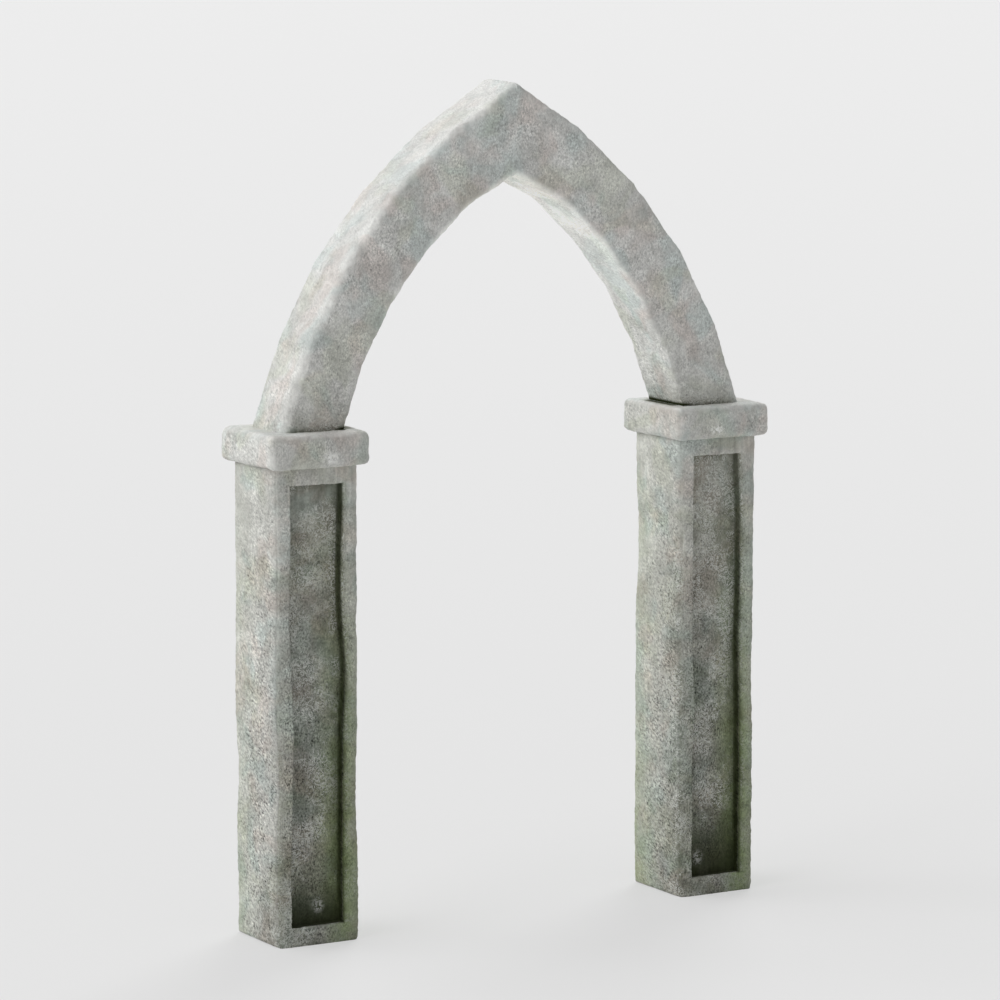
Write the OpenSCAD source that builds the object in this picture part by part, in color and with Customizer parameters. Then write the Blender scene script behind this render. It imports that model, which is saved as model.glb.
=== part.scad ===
// Free-standing pointed arch of dressed stone, in millimetres.
// Two panelled shafts each carry an impost block, and ten straight-dressed stones
// spring from the imposts and lean together in an upright joint at the apex.
// The origin is on the ground midway between the shafts: +X runs along the arch,
// the front faces -Y and +Z is up.

/* [Archway] */
// Clear width between the two shafts
opening_w = 1646; // [1200:2:2400]
// Rise of the intrados curve from the imposts to its point
intrados_rise = 1106; // [900:2:1500]
// Radius of the intrados curve on each side
intrados_r = 1735; // [1500:5:2400]

/* [Shafts] */
// Width of a shaft along the arch
shaft_w = 410; // [360:2:560]
// Depth of a shaft from front to back
shaft_d = 392; // [320:2:520]
// Height of a shaft from the ground to its impost
shaft_h = 2108; // [1600:2:2800]
// Radius of the worn upright arrises of a shaft
shaft_arris = 22; // [10:1:40]

/* [Sunk panels] */
// Margin left standing on each side of a sunk panel
panel_stile = 76; // [50:1:110]
// Margin left standing between the ground and a sunk panel
panel_foot = 84; // [50:1:160]
// Margin left standing between a sunk panel and the impost
panel_head = 78; // [50:1:160]
// Depth to which a panel is sunk
panel_sink = 46; // [15:1:70]

/* [Imposts] */
// Height of an impost block
impost_h = 148; // [90:1:220]
// How far an impost stands out past the sides of its shaft
impost_side = 38; // [15:1:80]
// How far an impost stands out past the front and back of its shaft
impost_face = 56; // [15:1:90]
// Radius of the worn edges of an impost
impost_arris = 28; // [8:1:35]

/* [Arch ring] */
// Width of the ring's foot on the impost, along the arch
ring_foot = 301; // [240:1:340]
// Height of the extrados point above the point of the intrados curve
ring_crown = 366; // [300:1:420]
// Radius of the extrados curve on each side
extrados_r = 2292; // [2050:2:2800]
// How far the tips of the apex stones hang below the intrados curve
apex_drop = 30; // [0:1:60]
// Thickness of the ring from front to back
ring_t = 302; // [220:2:420]
// Setback of the ring's foot from the inner face of its shaft
ring_setback = 39; // [10:1:70]
// Radius of the worn long arrises of the ring
ring_arris = 18; // [5:1:40]

/* [Hidden] */
$fn = 48;

// Colours of the stone
shaft_colour = [0.55, 0.54, 0.49];
impost_colour = [0.66, 0.65, 0.61];
ring_colour = [0.68, 0.67, 0.63];

// Places of the left side: the right side is its mirror image
shaft_x = -(opening_w + shaft_w) / 2;
impost_w = shaft_w + 2 * impost_side;
impost_d = shaft_d + 2 * impost_face;
impost_top = shaft_h + impost_h;
foot_x = opening_w / 2 + ring_setback;

// A small length for clean cuts
over = 1;

// Joints of the left half's elevation: five stones part each curve equally from the
// impost up to the apex joint, and their faces are the chords between those points
ring_stones = 5;
intrados_curve = curve_points(foot_x, intrados_rise, intrados_r);
intrados = [for (i = [0:ring_stones])
    intrados_curve[i] - [0, i == ring_stones ? apex_drop : 0]];
extrados = curve_points(foot_x + ring_foot, intrados_rise + ring_crown, extrados_r);

// Points that part an arc of radius r equally. It starts on the impost at the distance
// foot from the apex joint and meets that joint at the height rise above the impost.
function curve_points(foot, rise, r) =
    let (chord = norm([foot, rise]),
         to_centre = sqrt(pow(r, 2) - pow(chord / 2, 2)),
         centre = [-foot / 2 + to_centre * rise / chord,
                   impost_top + rise / 2 - to_centre * foot / chord],
         low = asin((impost_top - centre.y) / r),
         high = acos(centre.x / r))
    [for (i = [0:ring_stones]) let (angle = low + (high - low) * i / ring_stones)
        centre + r * [-cos(angle), sin(angle)]];

// Rectangle centred on the origin with rounded corners
module rounded_rectangle(w, d, r) {
    square([w - 2 * r, d], center = true);
    square([w, d - 2 * r], center = true);
    for (x = [-1, 1], y = [-1, 1])
        translate([x * (w / 2 - r), y * (d / 2 - r)]) circle(r);
}

module sunk_panel() {
    panel_w = shaft_w - 2 * panel_stile;
    panel_h = shaft_h - panel_foot - panel_head;
    translate([-panel_w / 2, -shaft_d / 2 - over, panel_foot])
        cube([panel_w, panel_sink + over, panel_h]);
}

module shaft() {
    color(shaft_colour)
        translate([shaft_x, 0, 0])
            difference() {
                linear_extrude(shaft_h) rounded_rectangle(shaft_w, shaft_d, shaft_arris);
                sunk_panel();
                rotate([0, 0, 180]) sunk_panel();
            }
}

module impost() {
    color(impost_colour)
        translate([shaft_x, 0, shaft_h + impost_h / 2])
            intersection() {
                linear_extrude(impost_h, center = true)
                    rounded_rectangle(impost_w, impost_d, impost_arris);
                rotate([90, 0, 0]) linear_extrude(impost_d, center = true)
                    rounded_rectangle(impost_w, impost_h, impost_arris);
                rotate([0, 90, 0]) linear_extrude(impost_w, center = true)
                    rounded_rectangle(impost_h, impost_d, impost_arris);
            }
}

// Straight bar with worn arrises. One long face lies on the line from a to b of the
// elevation, and the bar is on the right of that line; it runs on past both points.
module dressed_bar(a, b) {
    run = b - a;
    bar_d = 2 * ring_foot;
    translate([a.x, 0, a.y]) rotate([0, -atan2(run.y, run.x), 0])
        translate([-ring_foot, 0, -bar_d / 2]) rotate([0, 90, 0])
            linear_extrude(norm(run) + 2 * ring_foot)
                rounded_rectangle(bar_d, ring_t, ring_arris);
}

// Everything between the joint planes i and i + 1 of the left half
module joint_wedge(i) {
    past = 0.2;
    lower = extrados[i] - intrados[i];
    upper = extrados[i + 1] - intrados[i + 1];
    rotate([90, 0, 0]) linear_extrude(ring_t + 2 * over, center = true)
        polygon([intrados[i] - past * lower, extrados[i] + past * lower,
                 extrados[i + 1] + past * upper, intrados[i + 1] - past * upper]);
}

// Stone 0 is the springer on the impost, and the last stone meets its twin at the apex
module ring_stone(i) {
    color(ring_colour)
        intersection() {
            dressed_bar(extrados[i], extrados[i + 1]);
            dressed_bar(intrados[i + 1], intrados[i]);
            joint_wedge(i);
        }
}

module right_side() {
    mirror([1, 0, 0]) children();
}

shaft();  // left_shaft
impost();  // left_impost
ring_stone(0);  // left_springer
ring_stone(1);  // left_voussoir_1
ring_stone(2);  // left_voussoir_2
ring_stone(3);  // left_voussoir_3
ring_stone(4);  // left_apex_stone
right_side() shaft();  // right_shaft
right_side() impost();  // right_impost
right_side() ring_stone(0);  // right_springer
right_side() ring_stone(1);  // right_voussoir_1
right_side() ring_stone(2);  // right_voussoir_2
right_side() ring_stone(3);  // right_voussoir_3
right_side() ring_stone(4);  // right_apex_stone
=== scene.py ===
"""Dresses the stone arch: worn shafts, imposts and arch ring, on a pale floor in soft light."""
import math

import bmesh
import bpy
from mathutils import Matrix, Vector, noise


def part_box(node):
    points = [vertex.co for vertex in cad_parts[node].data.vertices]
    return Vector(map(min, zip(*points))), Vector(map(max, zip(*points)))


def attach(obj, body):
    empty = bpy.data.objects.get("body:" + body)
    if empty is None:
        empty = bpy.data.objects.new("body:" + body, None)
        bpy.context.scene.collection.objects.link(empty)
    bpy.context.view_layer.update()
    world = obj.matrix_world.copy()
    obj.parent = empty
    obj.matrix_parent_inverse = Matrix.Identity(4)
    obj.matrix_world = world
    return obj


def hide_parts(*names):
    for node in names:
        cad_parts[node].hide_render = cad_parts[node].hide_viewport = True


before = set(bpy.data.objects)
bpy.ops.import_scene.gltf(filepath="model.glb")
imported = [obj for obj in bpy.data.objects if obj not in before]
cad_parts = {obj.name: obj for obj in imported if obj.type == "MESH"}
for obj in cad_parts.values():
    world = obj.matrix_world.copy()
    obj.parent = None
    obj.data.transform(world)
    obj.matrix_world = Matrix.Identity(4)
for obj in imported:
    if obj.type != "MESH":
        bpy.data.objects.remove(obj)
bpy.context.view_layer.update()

# ---------------------------------------------------------------------------------------
# Shafts
# Each shaft is one upright block of pale limestone, dressed square, with a tall panel sunk
# in its front and back. Rain has rounded the arrises and pitted the faces; the foot and the
# right side of each panel are dark and green, and the sunk panel holds painted shade.
# ---------------------------------------------------------------------------------------
PANEL_STILE = 0.076
PANEL_FOOT = 0.084
PANEL_HEAD = 0.078
PANEL_SINK = 0.046
SHAFT_ARRIS = 0.022
RIM_ARRIS = 0.006
SHAFT_GRID = 0.0068
# Places closer together than this are taken as one, and slivers thinner than this aren't cut
TOUCH = 1e-4
SLIVER = 0.0014
# An edge is sharp when its faces turn by more than this, in radians, and lies inside a face
# when it is further than the next from the face's own edges
SHARP = 1
INSIDE = 0.01
# How far the wear of an arris is felt, and how deep an arris is commonly rubbed
ARRIS_REACH = 0.06
ARRIS_RUB = 0.003
# The wider rub that an arris gets besides where it takes the weather: its depth and reach
EXPOSED_RUB = 0.009
EXPOSED_REACH = 0.09
# A place is on a side face within this much of it, on the front or back face when it is sunk
# less than the next, and on the panel's bed when it is sunk more than the last
ON_SIDE = 0.004
ON_FACE = 0.01
ON_BED = 0.03
# The rounded rim of the panel is taken to reach this far out of it
RIM_WIDTH = 0.01

# Where the two shafts differ: how far damp climbs from the panel's foot, how wide soil and
# painted shade lie along the panel's right side, how green the left face is, and how far in
# from the left and how high the lichen dots sit
DAMP_CLIMB = {"left": 0.28, "right": 0.46}
SOIL_AND_SHADE_WIDTH = {"left": 0.06, "right": 0.075}
LEFT_GREEN = {"left": 0.16, "right": 0.28}
LICHEN_IN = {"left": 0.225, "right": 0.13}
LICHEN_HEIGHT = 0.165

# Where the blocks were dressed out of true: the face or panel rim, the height of the place,
# how far it reaches up and down, and how far it stands to the right of true
OUT_OF_TRUE = {
    "left": (("left face", 1.12, 0.45, -0.006), ("left face", 0.74, 0.25, 0.009),
             ("left rim", 1.45, 0.40, -0.009), ("left rim", 0.88, 0.55, 0.011),
             ("right rim", 1.62, 0.42, -0.008), ("right rim", 1.20, 0.30, 0.013),
             ("right rim", 0.20, 0.40, -0.005), ("right face", 0.66, 0.40, -0.008)),
    "right": (("left face", 1.60, 0.34, 0.012), ("left face", 0.30, 0.30, -0.004),
              ("left rim", 0.88, 0.30, 0.010), ("right rim", 2.02, 0.30, -0.014),
              ("right rim", 1.15, 0.30, -0.008), ("right face", 1.06, 0.40, -0.008)),
}
OUT_OF_TRUE_WIDTH = 0.07


def nearness(distance, reach):
    """1 at distance 0, easing to 0 at the reach."""
    share = min(1.0, max(0.0, 1 - distance / reach))
    return share * share * (3 - 2 * share)


def stone_block(low, high):
    """A plain block between two corners."""
    bm = bmesh.new()
    bmesh.ops.create_cube(bm, size=1)
    bmesh.ops.scale(bm, vec=high - low, verts=bm.verts)
    bmesh.ops.translate(bm, vec=(low + high) / 2, verts=bm.verts)
    return bm


def cut_across(bm, axis, at):
    """Scores the block all round where a plane square to the axis meets it."""
    normal = Vector((0, 0, 0))
    normal[axis] = 1
    geom = bm.verts[:] + bm.edges[:] + bm.faces[:]
    bmesh.ops.bisect_plane(bm, geom=geom, dist=SLIVER, plane_co=normal * at, plane_no=normal)


def round_edges(bm, edges, radius, segments):
    bmesh.ops.bevel(bm, geom=edges, offset=radius, offset_type="OFFSET", segments=segments,
                    profile=0.5, affect="EDGES", clamp_overlap=False, material=-1)


def sink_panels(bm, low, high):
    """Cuts the tall panels into the front and back of a shaft, and rounds their rims."""
    for axis, at in ((0, low.x + PANEL_STILE), (0, high.x - PANEL_STILE),
                     (2, low.z + PANEL_FOOT), (2, high.z - PANEL_HEAD)):
        cut_across(bm, axis, at)
    middle = (low + high) / 2
    fields = [f for f in bm.faces if abs(f.normal.y) > 0.9
              and abs(f.calc_center_median().x - middle.x) < PANEL_STILE
              and abs(f.calc_center_median().z - middle.z) < PANEL_STILE]
    for f in bmesh.ops.extrude_discrete_faces(bm, faces=fields)["faces"]:
        bmesh.ops.translate(bm, vec=f.normal * -PANEL_SINK, verts=f.verts)
    bm.normal_update()
    rims = []
    for e in bm.edges:
        on_face = all(abs(v.co.y) > high.y - TOUCH for v in e.verts)
        within_width = all(low.x + INSIDE < v.co.x < high.x - INSIDE for v in e.verts)
        within_height = all(low.z + INSIDE < v.co.z < high.z - INSIDE for v in e.verts)
        if on_face and within_width and within_height and e.calc_face_angle(0) > SHARP:
            rims.append(e)
    round_edges(bm, rims, RIM_ARRIS, 2)


def round_uprights(bm, low, high):
    """Rounds the four upright arrises of a shaft."""
    uprights = []
    for e in bm.edges:
        on_face = all(abs(v.co.y) > high.y - TOUCH for v in e.verts)
        on_side = all(v.co.x < low.x + TOUCH or v.co.x > high.x - TOUCH for v in e.verts)
        if on_face and on_side:
            uprights.append(e)
    round_edges(bm, uprights, SHAFT_ARRIS, 6)


def cut_to_grid(bm, step):
    """Scores the block at even steps along each axis, the longest axis first."""
    low = [min(v.co[axis] for v in bm.verts) for axis in range(3)]
    high = [max(v.co[axis] for v in bm.verts) for axis in range(3)]
    for axis in sorted(range(3), key=lambda a: low[a] - high[a]):
        count = round((high[axis] - low[axis]) / step)
        for i in range(1, count):
            cut_across(bm, axis, low[axis] + (high[axis] - low[axis]) * i / count)


def mark(bm, name, value_at):
    """Stores on every vertex what value_at gives for its place."""
    layer = bm.verts.layers.float.new(name)
    for v in bm.verts:
        v[layer] = value_at(v.co)


class Shaft:
    """One shaft: its corners, what the weather has done at each place on it, and where light and shade are
    painted on it.
    """

    def __init__(self, side):
        self.side = side
        self.low, self.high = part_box(side + "_shaft")
        self.middle_x = (self.low.x + self.high.x) / 2
        self.depth = self.high.y - self.low.y

    def from_side(self, p):
        return min(p.x - self.low.x, self.high.x - p.x)

    def from_top(self, p):
        return self.high.z - p.z

    def from_arris(self, p):
        return math.hypot(self.from_side(p), self.high.y - abs(p.y))

    def on_arris(self, p):
        return nearness(self.from_arris(p), ARRIS_REACH)

    def rubbed(self, p):
        """The left arris of the front and the right one of the back take the weather, and
        are rubbed deeper and wider."""
        rub = ARRIS_RUB * self.on_arris(p) ** 2
        if (p.x - self.middle_x) * p.y > 0:
            wider = EXPOSED_RUB * nearness(self.from_arris(p), EXPOSED_REACH) ** 2
            rub += ARRIS_RUB * self.on_arris(p) ** 2 + wider
        return rub

    def in_panel(self, p):
        """How deep a place is sunk, and how far it is inside the left, right, lower and upper rim."""
        return (self.high.y - abs(p.y), p.x - self.low.x - PANEL_STILE, self.high.x - PANEL_STILE - p.x,
                p.z - self.low.z - PANEL_FOOT, self.high.z - PANEL_HEAD - p.z)

    def from_exposed_arris(self, p):
        """How far round the block a side face's place is from the arris that takes the weather."""
        return p.y - self.low.y if p.x < self.middle_x else self.high.y - p.y

    def darker_arris(self, p):
        """The left shaft's exposed arrises are darker at the foot, and the right one's
        everywhere but at the top."""
        if self.side == "left":
            held = 0.02 + 0.30 * nearness(p.z, 0.8)
        else:
            held = 0.36 - 0.34 * nearness(self.from_top(p), 0.8)
        inwards = min(1.0, self.from_side(p) / 0.03)
        return held * nearness(self.from_exposed_arris(p), 0.30) * (1 - 0.75 * inwards)

    def darkening_on_faces(self, p):
        """Darker exposed arrises, darker towards the ground, and painted shade beside the panel's right
        rim.
        """
        sunk, left, right, foot, head = self.in_panel(p)
        darkening = self.darker_arris(p)
        if self.from_side(p) > ON_SIDE and sunk < ON_FACE:
            darkening += 0.23 * nearness(p.z, 1.9)
        if min(foot, head) > -0.003:
            # Painted shade along the panel's right rim, where the reveal is in shade
            darkening += 0.30 * nearness(abs(right), 0.030) + 0.20 * nearness(abs(right), 0.011)
        return darkening

    def painted_shade_and_dirt(self, p):
        """Soil and painted shade lie all over the sunk panel: soil most at its foot, painted shade under
        its head and along its left rim, and both along its right side.
        """
        sunk, left, right, foot, head = self.in_panel(p)
        on_faces = self.darkening_on_faces(p)
        if min(left, right, foot, head) < -RIM_WIDTH:
            return on_faces
        # Soil and painted shade along the right side, darkest in the corner of the reveal
        along_right = 0.5 * nearness(right, SOIL_AND_SHADE_WIDTH[self.side]) + 0.5 * nearness(right, 0.014)
        if self.side == "right":
            along_right *= 1 - 0.3 * nearness(self.from_top(p), 0.9)
        along_foot = nearness(foot, DAMP_CLIMB[self.side]) * 0.92
        # Painted shade under the head and along the left rim; soil at the foot
        edge = max(along_right, nearness(left, 0.02) * 0.4, along_foot, nearness(head, 0.05) * 0.4)
        # The whole sunk panel is painted darker, partly as shade
        in_bed = min(1.0, 0.35 + 0.07 * nearness(p.z, 1.9) + 0.56 * edge)
        share = min(1.0, sunk / 0.02)
        return (1 - share) * on_faces + share * in_bed

    def on_damp_side(self, p):
        """Moss creeps along the panel's right side, over the right stile, and over the left face
        towards its back arris. It is weaker higher up."""
        sunk, left, right, foot, head = self.in_panel(p)
        lower = 1 - 0.9 * nearness(self.from_top(p), 1.7)
        if p.x < self.low.x + ON_SIDE:
            rising = 1 + nearness(p.z, 1.0) - 0.6 * nearness(self.from_top(p), 0.6)
            return LEFT_GREEN[self.side] * nearness(self.high.y - p.y, 0.27) * rising
        if sunk > ON_BED and left > -RIM_WIDTH:
            return 0.9 * nearness(right, 0.16) * lower
        if sunk < ON_FACE and right < 0.14:
            on_stile = 0.50 + 0.40 * nearness(max(0.0, -right), 0.07)
            return lower * nearness(max(0.0, right), 0.14) * on_stile
        return 0.1 * lower

    def where_rinsed_and_painted_light(self, p):
        """The side faces are painted paler towards the sheltered arris as painted light, with fainter tints
        and grain.
        """
        from_sheltered = self.depth - self.from_exposed_arris(p)
        return nearness(self.from_side(p), 0.02) * nearness(from_sheltered, 0.26)

    def where_water_runs(self, p):
        """Under the impost towards the sheltered arrises, below the panel's head and at its foot."""
        sunk, left, right, foot, head = self.in_panel(p)
        if sunk > ON_BED and min(left, right) > -RIM_WIDTH:
            return max(nearness(head, 0.22), nearness(foot, 0.16))
        from_sheltered = self.depth - self.from_exposed_arris(p)
        return nearness(self.from_top(p), 0.35) * nearness(from_sheltered, 0.16)

    def lichen_dots(self, p):
        """A small round group of lichen dots sits low in the panel."""
        across = (p.x - self.low.x - LICHEN_IN[self.side]) / 0.8
        return 0.45 * nearness(math.hypot(across, p.z - LICHEN_HEIGHT), 0.05)

    def held(self, p):
        """The foot and the top bed stay level."""
        return nearness(min(p.z - self.low.z, self.from_top(p)), 0.02)

    def push_out_of_true(self, bm):
        """Moves the side faces and the panel's rims to where they were dressed."""
        places = {"left face": self.low.x, "right face": self.high.x,
                  "left rim": self.low.x + PANEL_STILE, "right rim": self.high.x - PANEL_STILE}
        for v in bm.verts:
            for place, height, reach, shift in OUT_OF_TRUE[self.side]:
                beside = nearness(abs(v.co.x - places[place]), OUT_OF_TRUE_WIDTH)
                v.co.x += shift * beside * nearness(abs(v.co.z - height), reach)


# What makes a stone uneven: about how many times a metre it comes, and how far it moves the skin
SWAY = (2.1, 0.004)
BROAD_LUMPS = (6, 0.003)
SMALL_LUMPS = (19, 0.0015)
CHIPS = (15, 0.009)
DENTS = (52, 0.0022)
PITS = (97, 0.0026)
# Sway and chips take their noise from elsewhere, so that they don't follow the lumps, and
# noise below this leaves no chip
SWAY_SHIFT = Vector((3.1, 7.7, 1.3))
CHIPS_SHIFT = Vector((5, 1, 9))
LEAST_CHIP = 0.2
# The skin lies this much further out, for what the pits take away
SKIN = 0.001

# The blocks sway alike each time the script runs
noise.seed_set(1)


def waves(p, kind):
    """How far one kind of unevenness moves the skin at a place."""
    often, depth = kind
    return noise.noise(p * often) * depth


def weather(bm, held_at):
    """Wears a dressed block: its faces sway, its arrises chip and are rubbed round, and its
    skin pits. The vertices carry how much each lies on an arris and how deep it is rubbed;
    held_at gives where the bed is kept level."""
    wear = bm.verts.layers.float["wear"]
    rub = bm.verts.layers.float["rub"]
    bm.normal_update()
    moves = []
    for v in bm.verts:
        p = v.co
        lean = noise.noise_vector(p * SWAY[0] + SWAY_SHIFT) * SWAY[1]
        lump = waves(p, BROAD_LUMPS) + waves(p, SMALL_LUMPS)
        chip = max(0.0, noise.noise(p * CHIPS[0] + CHIPS_SHIFT) - LEAST_CHIP) * v[wear] * CHIPS[1]
        pit = waves(p, DENTS) + abs(waves(p, PITS))
        move = lean + v.normal * (lump - chip - pit - v[rub] + SKIN)
        move.z *= 1 - held_at(p)
        moves.append(move)
    for v, move in zip(bm.verts, moves):
        v.co += move


def finish_stone(bm, node, material):
    """Turns the bmesh into the piece that stands for a CAD node."""
    for f in bm.faces:
        f.smooth = True
    mesh = bpy.data.meshes.new(node)
    bm.to_mesh(mesh)
    bm.free()
    stone = bpy.data.objects.new("worn_" + node, mesh)
    bpy.context.scene.collection.objects.link(stone)
    mesh.materials.append(material)
    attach(stone, "root")
    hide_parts(node)


# Colours as they look, 0 to 255: broad tints of the stone, painted light on faces that look up,
# moss, soil and painted shade and their yellow stain, and lichen in squiggles and in dots
ROSE = (247, 236, 233)
TEAL = (229, 242, 243)
OLIVE = (241, 244, 233)
UPWARD_PAINTED_LIGHT = (232, 232, 230)
MOSS = (150, 166, 122)
SOIL_AND_PAINTED_SHADE = (44, 50, 30)
STAIN_OF_SOIL_AND_SHADE = (252, 252, 238)
LICHEN = (216, 218, 213)
LICHEN_DOT = (250, 251, 248)
TINT_STRENGTH = 0.6
# Short strokes of the grain rise backwards at a low slope
STROKE_TURN = (math.radians(27), 0, math.radians(-8))


def srgb(red, green, blue):
    """A colour given as it looks, 0 to 255, as the shader wants it."""
    parts = [c / 255 for c in (red, green, blue)]
    return [c / 12.92 if c <= 0.04045 else ((c + 0.055) / 1.055) ** 2.4 for c in parts] + [1]


class Nodes:
    """Short ways to add the shader nodes that the stone and the floor need."""

    def __init__(self, name):
        self.material = bpy.data.materials.new(name)
        self.material.use_nodes = True
        self.tree = self.material.node_tree
        self.shader = self.tree.nodes["Principled BSDF"]
        self.point = self.add("ShaderNodeTexCoord").outputs["Object"]

    def add(self, kind, **settings):
        node = self.tree.nodes.new(kind)
        for key, value in settings.items():
            setattr(node, key, value)
        return node

    def join(self, source, target):
        if isinstance(source, bpy.types.NodeSocket):
            self.tree.links.new(source, target)
        else:
            target.default_value = source

    def noise(self, scale, detail=3.0, roughness=0.55, distortion=0.0, shift=(0, 0, 0),
              drawn=(1, 1, 1), turn=(0, 0, 0)):
        """Cloudy noise, drawn out by a factor along each axis after those axes are turned."""
        mapping = self.add("ShaderNodeMapping", vector_type="TEXTURE")
        self.join(self.point, mapping.inputs["Vector"])
        mapping.inputs["Location"].default_value = shift
        mapping.inputs["Rotation"].default_value = turn
        mapping.inputs["Scale"].default_value = drawn
        texture = self.add("ShaderNodeTexNoise")
        self.join(mapping.outputs["Vector"], texture.inputs["Vector"])
        texture.inputs["Scale"].default_value = scale
        texture.inputs["Detail"].default_value = detail
        texture.inputs["Roughness"].default_value = roughness
        texture.inputs["Distortion"].default_value = distortion
        return texture.outputs["Fac"]

    def ease(self, value, low, high, to_low=0.0, to_high=1.0):
        """Maps low..high smoothly onto to_low..to_high."""
        node = self.add("ShaderNodeMapRange", interpolation_type="SMOOTHSTEP")
        for name, item in zip(("Value", "From Min", "From Max", "To Min", "To Max"),
                              (value, low, high, to_low, to_high)):
            self.join(item, node.inputs[name])
        return node.outputs["Result"]

    def math(self, operation, *values):
        node = self.add("ShaderNodeMath", operation=operation)
        for item, socket in zip(values, node.inputs):
            self.join(item, socket)
        return node.outputs["Value"]

    def product(self, *values):
        result = values[0]
        for value in values[1:]:
            result = self.math("MULTIPLY", result, value)
        return result

    def about_zero(self, noise_value):
        """Noise lies about a half; this lays it about 0."""
        return self.math("SUBTRACT", noise_value, 0.5)

    def mix(self, share, first, second, blend="MIX"):
        node = self.add("ShaderNodeMix", data_type="RGBA", blend_type=blend)
        self.join(share, node.inputs["Factor"])
        self.join(first, node.inputs["A"])
        self.join(second, node.inputs["B"])
        return node.outputs["Result"]

    def shade(self, colour, factor):
        """Makes a colour lighter or darker by a factor that varies over the surface."""
        grey = self.add("ShaderNodeCombineXYZ")
        for socket in grey.inputs:
            self.join(factor, socket)
        return self.mix(1.0, colour, grey.outputs["Vector"], "MULTIPLY")

    def upward_part(self, vector):
        parts = self.add("ShaderNodeSeparateXYZ")
        self.join(vector, parts.inputs["Vector"])
        return parts.outputs["Z"]

    def attribute(self, name):
        return self.add("ShaderNodeAttribute", attribute_name=name).outputs["Fac"]


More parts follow.
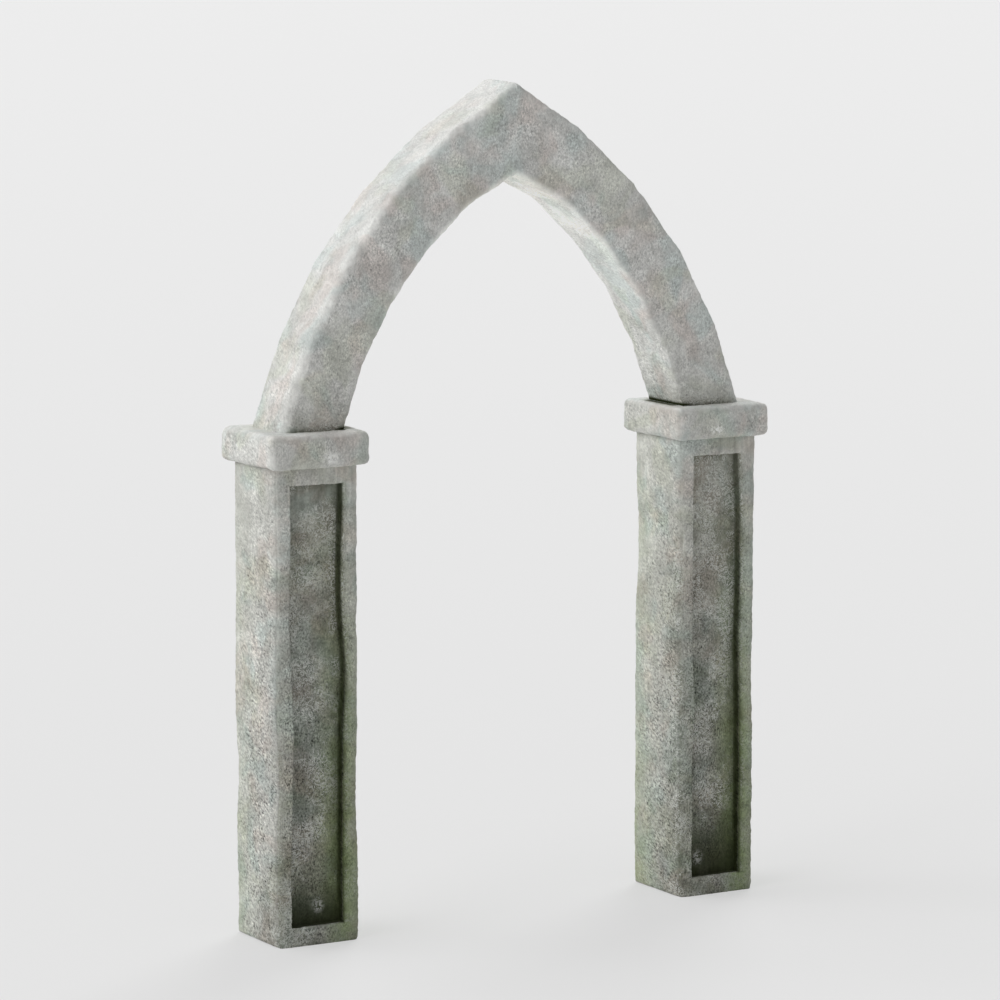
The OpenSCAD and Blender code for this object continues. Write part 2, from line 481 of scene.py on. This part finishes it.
class WeatheredStone(Nodes):
    """Limestone, laid on from the bare stone to the lichen, with painted light and shade among the
    layers. tide is how much it darkens towards the ground, and fleck how strong its grain is."""

    def __init__(self, name, tide, fleck):
        super().__init__(name)
        self.tide = tide
        self.fleck = fleck
        self.wear = self.attribute("wear")
        self.dirt_and_painted_shade = self.attribute("dirt_and_painted_shade")
        self.moss = self.attribute("moss")
        self.rinse_and_painted_light = self.attribute("rinse_and_painted_light")
        self.drips = self.attribute("drips")
        self.spots = self.attribute("spots")
        self.height = self.upward_part(self.point)
        self.upwards = self.upward_part(self.add("ShaderNodeNewGeometry").outputs["Normal"])
        self.grain = self.noise(140, 1.0, 0.6, 0.5, drawn=(1, 2.5, 1.3), turn=STROKE_TURN)
        self.mottle = self.noise(24, 3.0, 0.6, 0.8, shift=(1.1, 0.3, 5.7))

    def bare(self, pale, dark):
        """Clouds of pale and dark stone, tinted in broad patches, less where it is rinsed and painted
        paler.
        """
        cloud = self.noise(7.0, detail=5.0, roughness=0.6, distortion=0.5)
        colour = self.mix(self.ease(cloud, 0.34, 0.66), srgb(*dark), srgb(*pale))
        for tint, shift in ((ROSE, (1.9, 6.1, 2.6)), (TEAL, (4.2, 1.7, 8.8)), (OLIVE, (8.3, 0.6, 4.4))):
            patch = self.ease(self.noise(5.0, 2, 0.5, 0.5, shift=shift), 0.48, 0.64, 0.0, TINT_STRENGTH)
            patch = self.product(patch, self.ease(self.rinse_and_painted_light, 1.0, 3.0, 1.0, 0.5))
            colour = self.mix(patch, colour, srgb(*tint), "MULTIPLY")
        return colour

    def painted_light_and_darker_foot(self, colour):
        """Faces that look up are painted paler as painted light, the stone darkens towards the foot, and
        the rinsed places are painted lighter as painted light.
        """
        # Painted light: faces that look up are mixed towards a paler colour
        colour = self.mix(self.ease(self.upwards, 0.25, 0.95, 0.0, 0.4), colour, srgb(*UPWARD_PAINTED_LIGHT))
        darker_low = self.ease(self.height, -0.4, 2.3, 1 - 0.26 * self.tide, 1.0)
        # Painted light: the rinsed places are made lighter
        lighter = self.math("ADD", self.product(self.rinse_and_painted_light, 0.14), 1.0)
        return self.shade(colour, self.product(darker_low, lighter))

    def mossed(self, colour):
        patchy = self.ease(self.noise(9, 4, 0.55, 0.6, shift=(7.3, 2.2, 0.4)), 0.30, 0.60, 0.6, 1.0)
        return self.mix(self.product(self.moss, patchy), colour, srgb(*MOSS))

    def soiled_and_shaded(self, colour):
        """Soil and painted shade lie unevenly where they are thin, and stain the stone a little yellow."""
        uneven = self.ease(self.noise(12, 5, 0.6, 0.6, shift=(2, 2, 2)), 0.30, 0.68, -0.32, 0.24)
        uneven = self.product(uneven, self.ease(self.dirt_and_painted_shade, 0.45, 0.75, 1.0, 0.15))
        darkening = self.product(self.dirt_and_painted_shade, self.math("ADD", uneven, 1.0))
        colour = self.mix(darkening, colour, srgb(*SOIL_AND_PAINTED_SHADE))
        return self.mix(self.dirt_and_painted_shade, colour, srgb(*STAIN_OF_SOIL_AND_SHADE), "MULTIPLY")

    def grained(self, colour):
        """Fine strokes, weaker on arrises, moss, faces that look up and rinsed, painted-paler places and
        stronger low down, then broader mottling, then streaks down the arrises and under drips."""
        cluster = self.ease(self.noise(9, 3, 0.6, 0.6, shift=(6.2, 3.8, 0.9)), 0.36, 0.62, 0.75, 1.3)
        low_down = self.ease(self.height, 0.6, 2.2, 1.0 + 0.4 * self.tide, 1.0 - 0.3 * self.tide)
        strength = self.product(self.ease(self.wear, 0.1, 1.0, self.fleck, 0.45 * self.fleck),
                                self.ease(self.moss, 0.1, 0.9, 1.0, 0.5),
                                self.ease(self.upwards, 0.0, 0.6, 1.0, 0.4),
                                self.ease(self.drips, 0.0, 1.0, 1.0, 0.4),
                                self.ease(self.rinse_and_painted_light, 0.0, 1.0, 1.0, 0.6), cluster, low_down)
        marks = self.product(self.about_zero(self.grain), strength, 1.5)
        marks = self.math("ADD", marks, self.product(self.about_zero(self.mottle), 0.45))
        streaks = self.about_zero(self.noise(52, 2.0, 0.7, drawn=(1, 1, 14)))
        down_arrises = self.ease(self.wear, 0.2, 0.9, 0.0, 0.4)
        run_down = self.math("MAXIMUM", down_arrises, self.product(self.drips, 0.8))
        run_down = self.product(run_down, self.ease(self.rinse_and_painted_light, 1.0, 2.0, 1.0, 0.3))
        marks = self.math("ADD", marks, self.product(streaks, run_down))
        return self.shade(colour, self.math("ADD", marks, 1.0))

    def lichened(self, colour):
        """Thin squiggles in patches, mostly on stone a little darkened by soil and painted shade, and
        groups of dots.
        """
        patch = self.ease(self.noise(6.3, 3, shift=(9.1, 3.3, 5.2)), 0.42, 0.56)
        winding = self.noise(34, 3, distortion=2.0, shift=(0.7, 4.1, 1.1))
        ridge = self.math("ABSOLUTE", self.about_zero(winding))
        lichen = self.product(patch, self.ease(ridge, 0.0, 0.06, 1.0, 0.0),
                              self.ease(self.dirt_and_painted_shade, 0.1, 0.4, 0.3, 0.95))
        lichen = self.product(lichen, self.ease(self.dirt_and_painted_shade, 0.5, 0.8, 1.0, 0.0),
                              self.ease(self.moss, 0.3, 0.7, 1.0, 0.4),
                              self.ease(self.rinse_and_painted_light, 1.0, 3.0, 1.0, 0.4))
        colour = self.mix(lichen, colour, srgb(*LICHEN))
        dots = self.ease(self.noise(60, 2, 0.6, 1.0, shift=(3.3, 0.2, 8.1)), 0.42, 0.58)
        return self.mix(self.product(self.spots, dots), colour, srgb(*LICHEN_DOT))


def limestone(name, pale, dark, tide, fleck):
    """Weathered limestone. pale and dark are the clean and the clouded stone."""
    stone = WeatheredStone(name, tide, fleck)
    colour = stone.bare(pale, dark)
    for lay_on in (stone.painted_light_and_darker_foot, stone.mossed, stone.soiled_and_shaded, stone.grained, stone.lichened):
        colour = lay_on(colour)
    stone.join(colour, stone.shader.inputs["Base Color"])
    stone.shader.inputs["Roughness"].default_value = 0.92
    stone.shader.inputs["Specular IOR Level"].default_value = 0.06
    bump = stone.add("ShaderNodeBump")
    bump.inputs["Strength"].default_value = 0.45
    bump.inputs["Distance"].default_value = 0.002
    stone.join(stone.math("ADD", stone.grain, stone.mottle), bump.inputs["Height"])
    stone.join(bump.outputs["Normal"], stone.shader.inputs["Normal"])
    return stone.material


shaft_stone = limestone("shaft_stone", (207, 207, 202), (181, 181, 176), 1.0, 1.27)

for side in ("left", "right"):
    shaft = Shaft(side)
    bm = stone_block(shaft.low, shaft.high)
    sink_panels(bm, shaft.low, shaft.high)
    round_uprights(bm, shaft.low, shaft.high)
    cut_to_grid(bm, SHAFT_GRID)
    mark(bm, "wear", shaft.on_arris)
    mark(bm, "dirt_and_painted_shade", shaft.painted_shade_and_dirt)
    mark(bm, "moss", shaft.on_damp_side)
    mark(bm, "rinse_and_painted_light", shaft.where_rinsed_and_painted_light)
    mark(bm, "drips", shaft.where_water_runs)
    mark(bm, "rub", shaft.rubbed)
    mark(bm, "spots", shaft.lichen_dots)
    shaft.push_out_of_true(bm)
    weather(bm, shaft.held)
    finish_stone(bm, side + "_shaft", shaft_stone)

# ---------------------------------------------------------------------------------------
# Imposts
# Each impost is one flat limestone block laid on its shaft. It stands out past the shaft
# on every side, has soft worn edges, and holds dirt and painted shade against the foot of the ring.
# ---------------------------------------------------------------------------------------
IMPOST_EDGE = 0.028
IMPOST_GRID = 0.0056
# How far the wear of the arrises round the beds is felt
BED_REACH = 0.05
# A place counts as on top within the first of the top, and as on a bed within the second
ON_TOP = 0.004
NEAR_BED = 0.01
# How far in from the right end, and how high, the lichen dots sit on the front and back
DOTS_FROM_RIGHT = {"left": 0.205, "right": 0.285}
DOTS_HEIGHT = 0.04


class Impost:
    """One impost: its corners, what it carries, what the weather has done on it, and where light and shade
    are painted on it.
    """

    def __init__(self, side):
        self.side = side
        self.low, self.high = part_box(side + "_impost")
        self.shaft_low, self.shaft_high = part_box(side + "_shaft")
        self.foot_half_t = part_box(side + "_springer")[1].y
        self.middle_x = (self.low.x + self.high.x) / 2

    def from_end(self, p):
        return min(p.x - self.low.x, self.high.x - p.x)

    def on_arris(self, p):
        x = self.from_end(p)
        y = self.high.y - abs(p.y)
        z = min(p.z - self.low.z, self.high.z - p.z)
        on_upright = nearness(math.hypot(x, y), ARRIS_REACH)
        return max(on_upright, nearness(math.hypot(x, z), BED_REACH), nearness(math.hypot(y, z), BED_REACH))

    def painted_shade_and_dirt(self, p):
        """Painted shade and dirt lie along the front, the back and the inner side of the ring's foot.
        The right impost's left end is painted a little darker as shade."""
        if p.z < self.high.z - ON_TOP:
            # Painted shade on the right impost's left end
            return 0.09 if self.side == "right" and p.x < self.low.x + 0.01 else 0.0
        # Painted shade and dirt on the top, darkest on the inner side of the ring's foot
        inner = min(abs(self.shaft_low.x), abs(self.shaft_high.x)) + 0.03 - abs(p.x)
        if inner > -0.01:
            return min(0.9, 1.4 * nearness(abs(inner), 0.05)) * nearness(max(0.0, abs(p.y) - 0.09), 0.08)
        return nearness(abs(abs(p.y) - self.foot_half_t), 0.025) * nearness(-inner, 0.4)

    def where_rinsed_and_painted_light(self, p):
        # The ends are painted paler as painted light, and their tints and grain are fainter
        return 0.25 * nearness(self.from_end(p), 0.04)

    def rubbed(self, p):
        """The right arris of the front and the left one of the back are rubbed."""
        if (p.x - self.middle_x) * p.y >= 0:
            return 0.0
        return ARRIS_RUB * nearness(math.hypot(self.from_end(p), self.high.y - abs(p.y)), 0.07)

    def lichen_dots(self, p):
        across = (self.high.x - p.x - DOTS_FROM_RIGHT[self.side]) / 1.5
        return nearness(math.hypot(across, p.z - self.low.z - DOTS_HEIGHT), 0.04)

    def held(self, p):
        """The beds stay level where the impost lies on the shaft and where it carries the ring."""
        over_shaft = self.shaft_low.x < p.x < self.shaft_high.x
        on_shaft = over_shaft and p.z < self.low.z + NEAR_BED and abs(p.y) < self.shaft_high.y
        under_ring = over_shaft and p.z > self.high.z - NEAR_BED and abs(p.y) < self.foot_half_t
        return 1.0 if on_shaft or under_ring else 0.0


impost_stone = limestone("impost_stone", (212, 212, 208), (194, 194, 190), 0.0, 0.85)

for side in ("left", "right"):
    impost = Impost(side)
    bm = stone_block(impost.low, impost.high)
    round_edges(bm, bm.edges[:], IMPOST_EDGE, 5)
    cut_to_grid(bm, IMPOST_GRID)
    mark(bm, "wear", impost.on_arris)
    mark(bm, "dirt_and_painted_shade", impost.painted_shade_and_dirt)
    mark(bm, "rinse_and_painted_light", impost.where_rinsed_and_painted_light)
    mark(bm, "rub", impost.rubbed)
    mark(bm, "spots", impost.lichen_dots)
    weather(bm, impost.held)
    finish_stone(bm, side + "_impost", impost_stone)

# ---------------------------------------------------------------------------------------
# Arch ring
# Ten limestone stones, five to a side, stand on the imposts and lean together at the apex.
# Each was dressed straight, so the ring turns a little at every joint; the joints are
# tight, and wear runs on over them.
# ---------------------------------------------------------------------------------------
RING_SETBACK = 0.039
INTRADOS_RISE = 1.106
INTRADOS_R = 1.735
EXTRADOS_R = 2.292
APEX_DROP = 0.030
RING_ARRIS = 0.014
WORN_ARRIS = 0.036
RING_GRID = 0.0058
# The straight bar that each stone is cut from, how far it runs on past both joints, and how
# far the wear of its arrises is felt
BAR_DEPTH = 0.29
BAR_LENGTH = 0.36
BAR_OVER = 0.07
BAR_ARRIS_REACH = 0.055
# A cut through a joint takes places closer to it than this as lying on it
ON_JOINT = 1e-5
RING_NAMES = ("springer", "voussoir_1", "voussoir_2", "voussoir_3", "apex_stone")

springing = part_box("left_impost")[1].z
ring_half_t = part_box("left_springer")[1].y
ring_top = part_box("left_apex_stone")[1].z


def curve_points(foot, rise, radius):
    """The joints of one curve of the left half: they part it equally, from the impost to the apex."""
    chord = math.hypot(foot, rise)
    to_centre = math.sqrt(radius ** 2 - (chord / 2) ** 2)
    centre = Vector((to_centre * rise / chord - foot / 2, 0,
                     springing + rise / 2 - to_centre * foot / chord))
    low = math.asin((springing - centre.z) / radius)
    high = math.acos(centre.x / radius)
    angles = [low + (high - low) * i / len(RING_NAMES) for i in range(len(RING_NAMES) + 1)]
    return [centre + radius * Vector((-math.cos(a), 0, math.sin(a))) for a in angles]


intrados = curve_points(-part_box("left_shaft")[1].x + RING_SETBACK, INTRADOS_RISE, INTRADOS_R)
intrados[-1].z -= APEX_DROP
extrados = curve_points(-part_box("left_springer")[0].x, ring_top - springing, EXTRADOS_R)


def on_bar_arris(p):
    from_face = min(-p.x, p.x + BAR_DEPTH)
    return nearness(math.hypot(from_face, ring_half_t - abs(p.y)), BAR_ARRIS_REACH)


def straight_bar(mirror):
    """One straight bar, its outer face at x = -BAR_DEPTH and its inner face at x = 0. Its outer
    arris that takes the weather, at the front on the left half, is rounded most."""
    bar = stone_block(Vector((-BAR_DEPTH, -ring_half_t, -BAR_OVER)),
                      Vector((0, ring_half_t, BAR_LENGTH + BAR_OVER)))
    for exposed, radius, segments in ((True, WORN_ARRIS, 8), (False, RING_ARRIS, 5)):
        arrises = []
        for e in bar.edges:
            runs_along = abs(e.verts[0].co.z - e.verts[1].co.z) > 0.1
            is_exposed = all(v.co.x < -0.1 and v.co.y * mirror < 0 for v in e.verts)
            if runs_along and e.calc_face_angle(0) > SHARP and is_exposed == exposed:
                arrises.append(e)
        round_edges(bar, arrises, radius, segments)
    cut_to_grid(bar, RING_GRID)
    mark(bar, "wear", on_bar_arris)
    # The inner face is marked as rinsed, with painted light
    mark(bar, "rinse_and_painted_light", lambda p: nearness(-p.x, 0.03))
    for name in ("rub", "dirt_and_painted_shade"):
        bar.verts.layers.float.new(name)
    return bar


def foot_soil_and_shade(p, rise):
    """Soil splashes up from the impost, but not onto the outer face, with painted shade in the line
    where the ring meets the impost, lying thick in the joint on the inner side."""
    splash_and_contact_shade = 0.25 * nearness(rise, 0.16) + 0.35 * nearness(rise, 0.03)
    on_outer_face = nearness(p.x + BAR_DEPTH, 0.06)
    # Painted shade in the joint on the inner side
    joint_shade = 0.6 * nearness(-p.x, 0.06) * nearness(rise, 0.02)
    return splash_and_contact_shade * (1 - on_outer_face) + joint_shade + 0.05 * nearness(rise, 0.8)


def fit_between_joints(bm, i, mirror):
    """Wears the bar to fit between joints i and i + 1, and marks its rub, its rinsing and painted light,
    and its soil and painted shade.
    """
    wear = bm.verts.layers.float["wear"]
    rinse_and_painted_light = bm.verts.layers.float["rinse_and_painted_light"]
    rub = bm.verts.layers.float["rub"]
    dirt_and_painted_shade = bm.verts.layers.float["dirt_and_painted_shade"]
    for v in bm.verts:
        along = v.co.z / BAR_LENGTH
        outwards = -v.co.x / BAR_DEPTH
        inner = intrados[i].lerp(intrados[i + 1], along)
        outer = extrados[i].lerp(extrados[i + 1], along)
        spot = inner.lerp(outer, outwards)
        rise = spot.z - springing
        # Only high on the intrados does the painted light stay, painting it paler
        v[rinse_and_painted_light] *= 3.5 * (1 - nearness(rise, 0.95)) ** 2
        v[dirt_and_painted_shade] = foot_soil_and_shade(v.co, rise)
        v[rub] = 0.004 * v[wear] ** 2 * nearness(rise, 0.75)
        if v.co.y * mirror < 0:
            from_outer_arris = math.hypot(v.co.x + BAR_DEPTH, ring_half_t - abs(v.co.y))
            v[rub] += 0.005 * nearness(from_outer_arris, 0.09) * nearness(rise, 1.3)
        # The ring's foot spreads a little, and its crest stands a little proud
        spot.x -= 0.006 * outwards * nearness(rise, 0.3)
        spot.z += 0.005 * outwards * nearness(abs(spot.x), 0.16)
        v.co = Vector((spot.x, v.co.y, spot.z))


def cut_off(bm, joint, onward, mirror):
    """Cuts the stone along a joint and closes it. Where onward is 1, what lies past the joint
    on the way to the apex goes, and where it is -1, what lies before the joint."""
    across = extrados[joint] - intrados[joint]
    away = Vector((-across.z, 0, across.x)) * -onward
    geom = bm.verts[:] + bm.edges[:] + bm.faces[:]
    cut = bmesh.ops.bisect_plane(bm, geom=geom, dist=ON_JOINT, clear_outer=True,
                                 plane_co=Vector((intrados[joint].x * mirror, 0, intrados[joint].z)),
                                 plane_no=Vector((away.x * mirror, 0, away.z)))
    rim = [e for e in cut["geom_cut"] if isinstance(e, bmesh.types.BMEdge)]
    for e in rim:
        e.smooth = False
    bmesh.ops.holes_fill(bm, edges=rim, sides=0)


def held_on_impost(p):
    """The foot of the ring stays level on the impost."""
    return nearness(p.z - springing, 0.01)


ring_stone = limestone("ring_stone", (222, 222, 219), (199, 199, 196), 0.0, 0.85)

for side, mirror in (("left", 1), ("right", -1)):
    bar = straight_bar(mirror)
    for i, name in enumerate(RING_NAMES):
        bm = bar.copy()
        fit_between_joints(bm, i, mirror)
        if side == "right":
            bmesh.ops.scale(bm, vec=(-1, 1, 1), verts=bm.verts)
            bmesh.ops.reverse_faces(bm, faces=bm.faces)
        weather(bm, held_on_impost)
        cut_off(bm, i, -1, mirror)
        cut_off(bm, i + 1, 1, mirror)
        finish_stone(bm, f"{side}_{name}", ring_stone)
    bar.free()

# ---------------------------------------------------------------------------------------
# Floor
# One pale level floor, wide enough to run out of sight and a little paler further away. It
# is seen partly by its own faint glow, so that it stays even and its shadows stay soft.
# ---------------------------------------------------------------------------------------
FLOOR_REACH = 400
FLOOR_GREY = (227, 227, 227)
NEAR_GLOW = (228, 228, 228)
FAR_GLOW = (246, 246, 246)
GLOW_SHARE = 0.6
# This far out, the glow is half way from the near one to the far one
HALF_WAY_OUT = 25.0

bm = bmesh.new()
bmesh.ops.create_grid(bm, x_segments=1, y_segments=1, size=FLOOR_REACH)
mesh = bpy.data.meshes.new("floor")
bm.to_mesh(mesh)
bm.free()
floor = bpy.data.objects.new("floor", mesh)
bpy.context.scene.collection.objects.link(floor)

pale = Nodes("pale_floor")
pale.shader.inputs["Base Color"].default_value = srgb(*FLOOR_GREY)
pale.shader.inputs["Roughness"].default_value = 1.0
pale.shader.inputs["Specular IOR Level"].default_value = 0.0
from_arch = pale.add("ShaderNodeVectorMath", operation="LENGTH")
pale.join(pale.point, from_arch.inputs[0])
distance = from_arch.outputs["Value"]
share = pale.math("DIVIDE", distance, pale.math("ADD", distance, HALF_WAY_OUT))
glow = pale.add("ShaderNodeEmission")
pale.join(pale.mix(share, srgb(*NEAR_GLOW), srgb(*FAR_GLOW)), glow.inputs["Color"])
ray = pale.add("ShaderNodeLightPath")
seen = pale.math("MAXIMUM", ray.outputs["Is Camera Ray"], ray.outputs["Is Glossy Ray"])
seen = pale.math("MAXIMUM", seen, ray.outputs["Is Transmission Ray"])
cover = pale.add("ShaderNodeMixShader")
pale.join(pale.product(seen, GLOW_SHARE), cover.inputs["Fac"])
pale.join(pale.shader.outputs["BSDF"], cover.inputs[1])
pale.join(glow.outputs["Emission"], cover.inputs[2])
pale.join(cover.outputs["Shader"], pale.tree.nodes["Material Output"].inputs["Surface"])
mesh.materials.append(pale.material)

# ---------------------------------------------------------------------------------------
# Light
# An even pale sky, a broad soft light low on the left, a broad one overhead, and two from
# behind, of which the right one lays soft shadows forward. The front gets mostly the sky.
# ---------------------------------------------------------------------------------------
SKY_STRENGTH = 0.27

world = bpy.data.worlds.new("sky")
bpy.context.scene.world = world
world.use_nodes = True
world.node_tree.nodes["Background"].inputs["Color"].default_value = (1, 1, 1, 1)
world.node_tree.nodes["Background"].inputs["Strength"].default_value = SKY_STRENGTH


def soft_light(name, towards, strength, spread):
    """A distant lamp: where it stands as seen from the arch, and how broad it looks, in degrees."""
    data = bpy.data.lights.new(name, "SUN")
    data.angle = math.radians(spread)
    data.energy = strength
    lamp = bpy.data.objects.new(name, data)
    bpy.context.scene.collection.objects.link(lamp)
    lamp.rotation_euler = Vector(towards).to_track_quat("Z", "Y").to_euler()


soft_light("left_light", (-0.97, 0.16, 0.44), 1.80, 75)
soft_light("rear_left_light", (-0.45, 0.90, 0.80), 0.35, 45)
soft_light("rear_right_light", (0.72, 0.71, 0.66), 1.25, 30)
soft_light("top_light", (0.0, 0.2, 1.0), 0.65, 90)

# ---------------------------------------------------------------------------------------
# Camera
# It stands well back to the left of the front, a little above the apex, with a long lens,
# and looks at the middle of the arch's height.
# ---------------------------------------------------------------------------------------
VIEW_AZIMUTH = math.radians(-29.93)
VIEW_ELEVATION = math.radians(7.93)
VIEW_DISTANCE = 21.67
AIM_HEIGHT = 1.8686
LENS_MM = 174.73
SENSOR_MM = 36
FAR_CLIP = 1000

aim = Vector((0, 0, AIM_HEIGHT))
back = Vector((math.sin(VIEW_AZIMUTH) * math.cos(VIEW_ELEVATION),
               -math.cos(VIEW_AZIMUTH) * math.cos(VIEW_ELEVATION),
               math.sin(VIEW_ELEVATION)))
camera_data = bpy.data.cameras.new("camera")
camera_data.lens = LENS_MM
camera_data.sensor_width = SENSOR_MM
camera_data.clip_end = FAR_CLIP
camera = bpy.data.objects.new("camera", camera_data)
bpy.context.scene.collection.objects.link(camera)
camera.location = aim + back * VIEW_DISTANCE
camera.rotation_euler = (-back).to_track_quat("-Z", "Y").to_euler()
bpy.context.scene.camera = camera

bpy.context.scene.view_settings.view_transform = "Standard"
